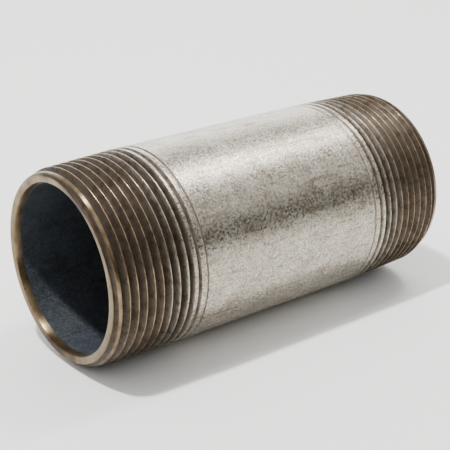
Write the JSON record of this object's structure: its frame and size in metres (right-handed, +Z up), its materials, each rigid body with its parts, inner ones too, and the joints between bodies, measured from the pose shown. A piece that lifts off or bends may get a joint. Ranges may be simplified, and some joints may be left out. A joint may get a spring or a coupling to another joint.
{
  "type": "threaded pipe nipple",
  "caption": "Short straight galvanised steel pipe with a tapered male pipe thread cut on each end, for joining two female threaded fittings.",
  "frame": {"origin": "middle of the pipe, on its axis", "axes": "+X along the pipe's axis, the pipe lying down with +Z up; both ends are threaded and alike"},
  "size_m": [0.1016, 0.0484, 0.0484],
  "materials": {
    "cut_steel": "bare low-carbon steel as the die, the reamer and the saw leave it, dark with cutting oil in the thread roots",
    "zinc": "weathered hot-dip zinc, mottled satin grey, on a steel wall"
  },
  "bodies": {
    "root": {"steel_pipe": "cut_steel", "outer_zinc_coat": "zinc", "inner_zinc_coat": "zinc"}
  },
  "joints": []
}
